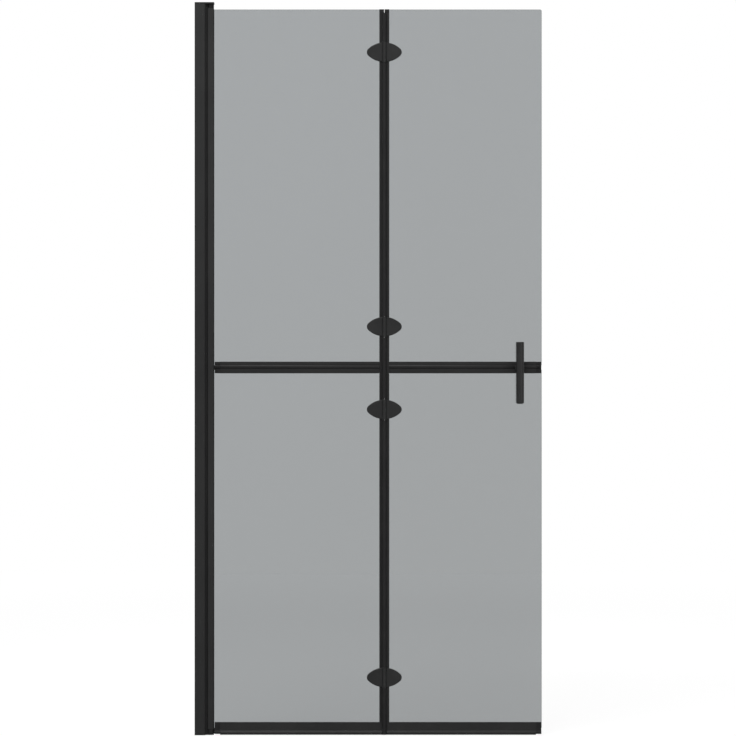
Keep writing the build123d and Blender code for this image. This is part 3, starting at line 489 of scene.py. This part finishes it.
def carried(name: str, bars: Sequence[tuple[np.ndarray, Span]], run: Run,
            rings: int = 2) -> bpy.types.Object:
    """Carry outlines along straight paths and close both ends.

    The surface is S(i, t) = (outline_i, low + t (high - low)), with the outline in the XY plane for an
    upright run, and in the YZ plane for a level one.

    Args:
        name: name of the piece.
        bars: each an outline in mm and the low and high end of its path in mm.
        run: direction of the path.
        rings: number of rings along the path.

    Returns:
        The new piece.
    """
    points: list[np.ndarray] = []
    faces: list[list[int]] = []
    base = 0
    for outline, (low, high) in bars:
        ring = outwards(outline)
        count = len(ring)
        along = np.linspace(low, high, rings)
        flat = np.tile(ring, (rings, 1))
        path = np.repeat(along, count)[:, None]
        order = (path, flat) if run is Run.LEVEL else (flat, path)
        points.append(np.hstack(order) * MM)
        index = np.arange(count)
        following = (index + 1) % count
        for step in range(rings - 1):
            here, there = base + step * count, base + (step + 1) * count
            quads = np.stack([here + index, here + following, there + following, there + index], axis=1)
            faces.extend(quads.tolist())
        faces.append((base + index[::-1]).tolist())
        faces.append((base + (rings - 1) * count + index).tolist())
        base += rings * count
    mesh = bpy.data.meshes.new(name)
    mesh.from_pydata(np.vstack(points).tolist(), [], faces)
    mesh.update()
    piece = bpy.data.objects.new(name, mesh)
    bpy.context.scene.collection.objects.link(piece)
    smooth_by_angle(piece, SMOOTH_ANGLE)
    return piece


def smooth_by_angle(piece: bpy.types.Object, degrees: float) -> None:
    """Shade a piece smoothly, apart from edges sharper than an angle.

    Args:
        piece: the piece.
        degrees: the angle.
    """
    piece.data.shade_smooth()
    piece.data.set_sharp_from_angle(angle=math.radians(degrees))


def gasket_outline(root: Span, towards: Span, depth: float) -> np.ndarray:
    """Outline of a glazing gasket: a U round the edge of the glass with two small swollen lips.

    Args:
        root: middle of the closed side in mm.
        towards: unit direction from the closed side to the lips, along the first or second axis.
        depth: length from the closed side to the lips in mm.

    Returns:
        The outline in mm.
    """
    half, glass, wall, swell = 3.1, 2.0, 1.1, 0.22
    side = [(0.0, half), (depth - 0.8, half), (depth - 0.55, half + swell), (depth - 0.15, half + swell),
            (depth, glass + 0.25), (depth - 0.3, glass), (wall, glass)]
    local = np.asarray(side + [(u, -v) for u, v in reversed(side)])
    direction = np.asarray(towards)
    across = np.asarray((-direction[1], direction[0]))
    return eased(np.asarray(root) + local[:, :1] * direction + local[:, 1:] * across, 0.18, 3)


@dataclass
class Dresser:
    """Gives pieces their finishes and reports them."""

    finishes: dict[str, bpy.types.Material] = field(default_factory=dict)

    def wear(self, piece: bpy.types.Object, finish: Any) -> None:
        """Put one finish on a piece.

        Args:
            piece: the piece.
            finish: the finish, built once and then shared.
        """
        if finish.name not in self.finishes:
            self.finishes[finish.name] = finish.build()
        piece.data.materials.clear()
        piece.data.materials.append(self.finishes[finish.name])
        LOG.info("%s wears %s", piece.name, finish.name)

    def nodes(self, names: Sequence[str], finish: Any, ease: float = 0.0) -> None:
        """Put one finish on frame pieces, with their edges eased by a small bevel.

        Args:
            names: names of the pieces.
            finish: the finish.
            ease: width of the bevel in mm, or 0 for none.
        """
        for name in names:
            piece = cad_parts[name]
            self.wear(piece, finish)
            if ease > 0:
                ease_edges(piece, ease)

    def new(self, piece: bpy.types.Object, body: str, slot: str, finish: Any, *stands_for: str) -> None:
        """Put a new piece on a body in place of frame pieces.

        Args:
            piece: the new piece.
            body: the body that it rides on.
            slot: name of a material slot; not used.
            finish: the finish.
            stands_for: names of the frame pieces that it stands for.
        """
        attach(piece, body)
        if stands_for:
            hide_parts(*stands_for)
        self.wear(piece, finish)


def ease_edges(piece: bpy.types.Object, width: float) -> None:
    """Join a frame piece's loose triangles in the view and ease its sharp edges.

    Args:
        piece: the piece.
        width: width of the bevel in mm.
    """
    weld = piece.modifiers.new("join", "WELD")
    weld.merge_threshold = WELD_REACH * MM
    bevel = piece.modifiers.new("ease", "BEVEL")
    bevel.width = width * MM
    bevel.segments = EASE_SEGMENTS
    bevel.limit_method = "ANGLE"
    bevel.angle_limit = math.radians(EASE_ANGLE)
    bevel.harden_normals = True


BAR_UPRIGHT = CoatedBar("coated_bar_upright", Run.UPRIGHT)
BAR_LEVEL = CoatedBar("coated_bar_level", Run.LEVEL)
CASTING = SatinCasting("satin_casting")
GLASS = GreyGlass("grey_glass")
RUBBER_UPRIGHT = SoftRubber("soft_rubber_upright", Run.UPRIGHT)
RUBBER_LEVEL = SoftRubber("soft_rubber_level", Run.LEVEL)
RUBBER_PAD = SoftRubber("soft_rubber_pad", Run.NONE)
BLACK_PLASTIC = MouldedPlastic("moulded_plastic_black")
STEEL = TurnedSteel("turned_steel")


@dataclass
class WallPost:
    """The wall channel, the adjusting jamb, its seals, screws and covers, and the two pivot caps."""

    lip_inner: float = 5.0
    lip_round: float = 0.35

    def lip(self, near: float, far: float, outer: float, side: float) -> np.ndarray:
        """Outline of one lip seal, a fin that tapers and leans towards the pivot tube.

        Args:
            near: where it leaves the jamb in mm.
            far: its tip in mm.
            outer: its outer face in mm.
            side: -1 in front and 1 at the back.

        Returns:
            The outline in mm.
        """
        inner = self.lip_inner
        reach = far - near
        fin = [(near, outer), (near + 0.45 * reach, outer), (far - 0.5, outer - 0.6), (far, outer - 1.2),
               (far - 0.2, inner + 0.25), (near + 0.6 * reach, inner + 0.1), (near, inner)]
        return eased([(x, y * side) for x, y in fin], self.lip_round, 4)

    def make(self, dresser: Dresser) -> None:
        """Build the lip seals and dress the rest."""
        (near, far), (_, outer), height = box_mm("jamb_lip_seals")
        bars = [(self.lip(near, far, outer, side), height) for side in (-1.0, 1.0)]
        lips = carried("lip_seals", bars, Run.UPRIGHT)
        dresser.new(lips, "wall", "black_rubber", RUBBER_UPRIGHT, "jamb_lip_seals")
        dresser.nodes(["wall_channel", "adjusting_jamb"], BAR_UPRIGHT, EASE_WALL)
        dresser.nodes(["top_pivot_cap", "bottom_pivot_cap"], BLACK_PLASTIC, EASE_WALL)
        dresser.nodes(["jamb_screw_caps", "pivot_bushes"], BLACK_PLASTIC)
        dresser.nodes(["jamb_screws"], STEEL)


@dataclass
class Gaskets:
    """The glazing gaskets of one panel: in its upright bar and in its rails."""

    name: str
    body: str
    mid_z: float = 953.0
    mid_root: float = 4.9
    mid_reach: float = 15.2
    lip_rise: float = 0.7

    def rails(self, dresser: Dresser, rail: str) -> None:
        """Build the gaskets of the mid and bottom rails.

        Args:
            dresser: gives the finish.
            rail: frame piece of the bottom rail.
        """
        node = f"{self.name}_rail_gaskets"
        span, _, (bottom_root, _) = box_mm(node)
        _, _, (_, rail_top) = box_mm(rail)
        up, down = (0.0, 1.0), (0.0, -1.0)
        mid_depth = self.mid_reach - self.mid_root
        bars = [
            (gasket_outline((0.0, bottom_root), up, rail_top + self.lip_rise - bottom_root), span),
            (gasket_outline((0.0, self.mid_z + self.mid_root), up, mid_depth), span),
            (gasket_outline((0.0, self.mid_z - self.mid_root), down, mid_depth), span),
        ]
        piece = carried(f"{self.name}_rail_gasket_lips", bars, Run.LEVEL)
        dresser.new(piece, self.body, "black_rubber", RUBBER_LEVEL, node)

    def upright(self, dresser: Dresser, node: str, side: float, clear: float) -> None:
        """Build the gaskets of an upright bar, below and above the mid rail.

        Args:
            dresser: gives the finish.
            node: frame piece that they stand for.
            side: 1 where the lips lie towards the free edge, -1 where they lie towards the wall.
            clear: how far they stay from the middle of the mid rail in mm.
        """
        (near, far), _, (low, high) = box_mm(node)
        outline = gasket_outline((near if side > 0 else far, 0.0), (side, 0.0), far - near)
        spans = ((low, self.mid_z - clear), (self.mid_z + clear, high))
        piece = carried(f"{node}_lips", [(outline, span) for span in spans], Run.UPRIGHT)
        dresser.new(piece, self.body, "black_rubber", RUBBER_UPRIGHT, node)


@dataclass
class FoldBead:
    """The round seal on the fold axis, clipped to the inner upright bar between the hinges."""

    radius: float = 5.3
    foot_inset: Span = (1.5, 1.8)
    foot_thick: float = 1.1
    foot_length: float = 4.6
    foot_round: float = 0.35
    neck_arc: Span = (188.0, 478.0)
    bare_arc: Span = (0.0, 355.0)
    barrel_half: float = 27.5
    hinges: int = 4

    def circle(self, centre: Span, arc: Span, count: int = 72) -> np.ndarray:
        """Points of the arc c + r (cos a, sin a) between two angles in degrees."""
        angle = np.radians(np.linspace(*arc, count))
        return np.asarray(centre) + self.radius * np.stack([np.cos(angle), np.sin(angle)], axis=1)

    def outline(self, centre: Span, bar: Span, front: float) -> np.ndarray:
        """Outline of bead, neck and foot: an arc, then straight sides to a foot on the bar.

        Args:
            centre: middle of the bead in mm.
            bar: low and high side of the inner upright bar in mm.
            front: front face of that bar in mm.

        Returns:
            The outline in mm.
        """
        low, high = bar[0] + self.foot_inset[0], bar[1] - self.foot_inset[1]
        step = front - self.foot_thick
        bends = 4
        corners = [(high, front - 0.5), (high, front), (low, front), (low, step),
                   (low + self.foot_length, step)]
        foot = eased(corners, self.foot_round, bends)
        return np.vstack([self.circle(centre, self.neck_arc), foot[bends:]])

    def make(self, dresser: Dresser) -> None:
        """Build the bead between the hinges, and the bare bead in front of the bottom rail."""
        bar, (front, _), (rail_top, _) = box_mm("inner_fold_profile")
        (_, seal_far), (seal_front, _), (low, high) = box_mm("fold_seal")
        centre = (seal_far - self.radius, seal_front + self.radius)
        ends = [high]
        for number in range(1, self.hinges + 1):
            _, _, leaf = box_mm(f"hinge_{number}_inner_leaf")
            middle = sum(leaf) / 2
            ends += [middle + self.barrel_half, middle - self.barrel_half]
        ends.append(rail_top)
        outline = self.outline(centre, bar, front)
        bars = [(outline, (bottom, top)) for top, bottom in zip(ends[0::2], ends[1::2])]
        bars.append((self.circle(centre, self.bare_arc), (low, rail_top)))
        piece = carried("fold_bead", bars, Run.UPRIGHT)
        dresser.new(piece, "inner_panel", "black_rubber", RUBBER_UPRIGHT, "fold_seal")


def bottom_lip() -> np.ndarray:
    """Outline of a bottom seal across its length: a head in the rail, a fin on both sides and a lip."""
    half = [(3.0, 6.4), (3.0, 4.6), (1.2, 4.5), (1.2, 3.0), (5.2, 2.95), (5.6, 1.6), (5.7, 0.2), (5.0, 0.2),
            (4.5, 1.5), (3.6, 2.0), (2.2, 1.7), (0.8, 0.3)]
    return eased(half + [(-y, z) for y, z in reversed(half)], 0.3, 4)


@dataclass
class Panel:
    """One panel of two panes, with its rails, its upright bar at the fold and its soft pieces."""

    name: str
    side: float
    lip_clear: float = 15.5

    def soft(self, dresser: Dresser) -> Gaskets:
        """Build the gaskets and the bottom seal that both panels have."""
        body, rail = f"{self.name}_panel", f"{self.name}_bottom_rail"
        gaskets = Gaskets(self.name, body)
        gaskets.rails(dresser, rail)
        gaskets.upright(dresser, f"{self.name}_fold_gaskets", self.side, self.lip_clear)
        node = f"{self.name}_bottom_seal"
        seal = carried(f"{self.name}_bottom_lip", [(bottom_lip(), box_mm(node)[0])], Run.LEVEL)
        dresser.new(seal, body, "black_rubber", RUBBER_LEVEL, node)
        return gaskets

    def hard(self, dresser: Dresser) -> None:
        """Dress the bars, rails, panes and end pieces that both panels have."""
        name = self.name
        dresser.nodes([f"{name}_fold_profile"], BAR_UPRIGHT, EASE_BAR)
        dresser.nodes([f"{name}_mid_rail", f"{name}_bottom_rail"], BAR_LEVEL, EASE_RAIL)
        dresser.nodes([f"{name}_upper_glass", f"{name}_lower_glass"], GLASS)
        dresser.nodes([f"{name}_bottom_cap", f"{name}_fold_cap"], BLACK_PLASTIC, EASE_RAIL)
        dresser.nodes([f"{name}_hinge_pads"], RUBBER_PAD)
        dresser.nodes([f"{name}_hinge_screws"], STEEL)


@dataclass
class InnerPanel(Panel):
    """The panel that turns at the wall."""

    name: str = "inner"
    side: float = -1.0
    pane_clear: float = 6.0

    def make(self, dresser: Dresser) -> None:
        """Build the soft pieces and dress the rest."""
        self.soft(dresser).upright(dresser, "tube_gaskets", 1.0, self.pane_clear)
        FoldBead().make(dresser)
        self.hard(dresser)
        dresser.nodes(["pivot_tube"], BAR_UPRIGHT, EASE_BAR)
        dresser.nodes(["mid_rail_bracket"], BLACK_PLASTIC, EASE_RAIL)
        dresser.nodes(["pivot_plugs"], CASTING)
        dresser.nodes(["inner_rail_screws"], STEEL)


@dataclass
class OuterPanel(Panel):
    """The panel that folds on the inner one, with the handle."""

    name: str = "outer"
    side: float = 1.0

    def make(self, dresser: Dresser) -> None:
        """Build the soft pieces and dress the rest."""
        self.soft(dresser)
        self.hard(dresser)
        dresser.nodes(["outer_mid_cap"], BLACK_PLASTIC, EASE_RAIL)
        dresser.nodes(["outer_rail_screw", "handle_screw"], STEEL)
        dresser.nodes(["handle_bar", "handle_post"], CASTING)


@dataclass
class FoldHinges:
    """The four oval hinges: leaves, pins, washers and back plates."""

    count: int = 4

    def make(self, dresser: Dresser) -> None:
        """Dress the hinges."""
        for number in range(1, self.count + 1):
            dresser.nodes([f"hinge_{number}_inner_leaf", f"hinge_{number}_outer_leaf"], CASTING)
        dresser.nodes(["inner_back_plates", "outer_back_plates", "hinge_pins"], CASTING)
        dresser.nodes(["hinge_washers"], BLACK_PLASTIC)


@dataclass(frozen=True)
class Lamp:
    """One soft lamp: its place and size in metres and its power in watts."""

    name: str
    place: tuple[float, float, float]
    size: Span
    watts: float


LAMPS = (
    Lamp("key", (-0.9, -3.6, 4.7), (2.6, 1.8), 210.0),
    Lamp("fill", (3.2, -3.6, 1.6), (1.6, 2.4), 30.0),
    Lamp("back", (0.8, 3.4, 3.6), (2.4, 1.6), 110.0),
)


@dataclass
class Studio:
    """Floor, world, lamps and camera."""

    middle: tuple[float, float, float] = (0.4493, 0.0, 0.9517)
    distance: float = 9.0
    view_width: float = 1.9105
    sensor_width: float = 36.0
    view_depth: float = 100.0
    floor_size: float = 14.0
    floor_colour: Colour = (0.82, 0.82, 0.82)
    floor_light: Colour = (0.85, 0.85, 0.85)
    floor_cloud_per_m: float = 1.3
    world_level: float = 0.34
    floor_glow: float = 0.885
    floor_gain: float = 0.07
    floor_fade: Span = (3.0, 7.0)
    floor_shown: Colour = (0.12, 0.12, 0.12)

    def camera(self) -> None:
        """Set a level camera straight in front, far off as the photograph shows no convergence."""
        data = bpy.data.cameras.new("camera")
        data.sensor_width = self.sensor_width
        data.lens = self.sensor_width * self.distance / self.view_width
        data.clip_end = self.view_depth
        camera = bpy.data.objects.new("camera", data)
        camera.location = (self.middle[0], -self.distance, self.middle[2])
        camera.rotation_euler = (math.pi / 2, 0.0, 0.0)
        bpy.context.scene.collection.objects.link(camera)
        bpy.context.scene.camera = camera

    def seen(self, tree: Tree) -> Sock:
        """Give 1 for rays that carry the background: camera, glossy and transmission rays."""
        path = tree.nodes.new("ShaderNodeLightPath")
        rays = [Sock(tree, path.outputs[name]) for name in
                ("Is Camera Ray", "Is Glossy Ray", "Is Transmission Ray")]
        return rays[0].math("MAXIMUM", rays[1]).math("MAXIMUM", rays[2])

    def floor(self) -> None:
        """Lay a pale floor that goes white where no shadow falls on it."""
        half = self.floor_size / 2
        x, y, _ = self.middle
        mesh = bpy.data.meshes.new("floor")
        corners = [(x - half, y - half, 0.0), (x + half, y - half, 0.0), (x + half, y + half, 0.0),
                   (x - half, y + half, 0.0)]
        mesh.from_pydata(corners, [], [(0, 1, 2, 3)])
        floor = bpy.data.objects.new("floor", mesh)
        bpy.context.scene.collection.objects.link(floor)
        tree = Tree("studio_floor")
        cloud = tree.noise(tree.place(), self.floor_cloud_per_m, 4.0)
        pale = tree.mix(cloud, self.floor_colour, self.floor_light)
        seen = self.seen(tree)
        matt = tree.add("ShaderNodeBsdfDiffuse", {}, {"Color": tree.mix(seen, pale, self.floor_shown)})
        points = {0: tree.place(), 1: self.middle}
        offset = tree.add("ShaderNodeVectorMath", {"operation": "SUBTRACT"}, points)
        distance = tree.add("ShaderNodeVectorMath", {"operation": "LENGTH"}, {0: offset}, "Value")
        strength = seen * (distance.ramp(*self.floor_fade) * self.floor_gain + self.floor_glow)
        glow = tree.add("ShaderNodeEmission", {}, {"Color": WHITE, "Strength": strength})
        mesh.materials.append(tree.close(tree.add("ShaderNodeAddShader", {}, {0: matt, 1: glow})))

    def world(self) -> None:
        """Light softly from all round, and show plain white behind the screen."""
        tree = Tree(bpy.data.worlds.new("studio"), "ShaderNodeOutputWorld")
        level = self.seen(tree) * (1.0 - self.world_level) + self.world_level
        glow = tree.add("ShaderNodeBackground", {}, {"Color": WHITE, "Strength": level})
        bpy.context.scene.world = tree.close(glow)

    def hang(self, lamp: Lamp) -> None:
        """Hang one soft lamp that looks at the middle of the screen and isn't seen itself.

        Args:
            lamp: the lamp.
        """
        data = bpy.data.lights.new(lamp.name, "AREA")
        data.shape = "RECTANGLE"
        data.size, data.size_y = lamp.size
        data.energy = lamp.watts
        light = bpy.data.objects.new(lamp.name, data)
        light.location = lamp.place
        aim = Vector(self.middle) - Vector(lamp.place)
        light.rotation_euler = aim.to_track_quat("-Z", "Y").to_euler()
        light.visible_camera = light.visible_transmission = False
        bpy.context.scene.collection.objects.link(light)

    def make(self) -> None:
        """Build the studio."""
        self.camera()
        self.floor()
        self.world()
        for lamp in LAMPS:
            self.hang(lamp)
        bpy.context.scene.view_settings.view_transform = "Standard"


def main() -> None:
    """Build the studio and dress the screen, part by part."""
    logging.basicConfig(level=logging.INFO, format="%(message)s")
    Studio().make()
    dresser = Dresser()
    for assembly in (WallPost(), InnerPanel(), OuterPanel(), FoldHinges()):
        assembly.make(dresser)
        LOG.info("%s is done", type(assembly).__name__)


if __name__ == "__main__":
    main()
